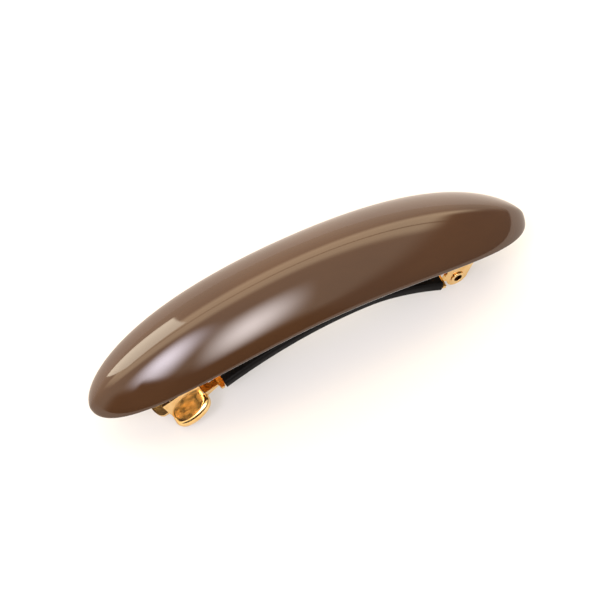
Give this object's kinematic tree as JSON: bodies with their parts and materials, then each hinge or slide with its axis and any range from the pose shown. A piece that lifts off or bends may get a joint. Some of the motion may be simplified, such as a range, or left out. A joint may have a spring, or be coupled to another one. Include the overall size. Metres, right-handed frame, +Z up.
{
  "type": "barrette",
  "caption": "Oval hair barrette with a domed, arched cover and a pinch-release spring clip whose sleeved arm clamps the hair.",
  "frame": {"origin": "the point of the rest plane under the middle of the object", "axes": "+X along the barrette towards its hinge, +Y across it, +Z up through the crest of the cover"},
  "size_m": [0.102, 0.0218, 0.0274],
  "materials": {
    "cover": "polished, high gloss",
    "gold": "bright gold plate",
    "rivets": "gold plate",
    "spring": "gold-washed spring steel",
    "grip": "satin"
  },
  "bodies": {
    "base": {"cover": "cover", "base_bar": "gold", "fixing_rivet_clasp_end": "rivets", "fixing_rivet_middle": "rivets", "fixing_rivet_hinge_end": "rivets", "hinge_pin": "gold", "clasp_plate": "gold", "clasp_rivet": "rivets"},
    "arm": {"clamp_arm": "gold", "tension_leaf": "spring", "leaf_rivet": "rivets", "grip_sleeve": "grip"},
    "tab_near": {"finger_tab_near": "gold"},
    "tab_far": {"finger_tab_far": "gold"}
  },
  "joints": [
    {"name": "arm_hinge", "type": "hinge", "parent": "base", "child": "arm", "pos_m": [0.03231, 0, 0.00313], "axis": [0, -1, 0], "range_deg": [0, 80]},
    {"name": "near_tab_pinch", "type": "hinge", "parent": "base", "child": "tab_near", "pos_m": [-0.03434, -0.0067, 0.00915], "axis": [0.938, 0, 0.3467], "range_deg": [0, 6], "stiffness_Nm_per_rad": 0.25},
    {"name": "far_tab_pinch", "type": "hinge", "parent": "base", "child": "tab_far", "pos_m": [-0.03434, 0.0067, 0.00915], "axis": [0.938, 0, 0.3467], "range_deg": [-6, 0], "stiffness_Nm_per_rad": 0.25}
  ],
  "couplings": [
    {"joint": "far_tab_pinch", "follows": "near_tab_pinch", "ratio": -1}
  ]
}
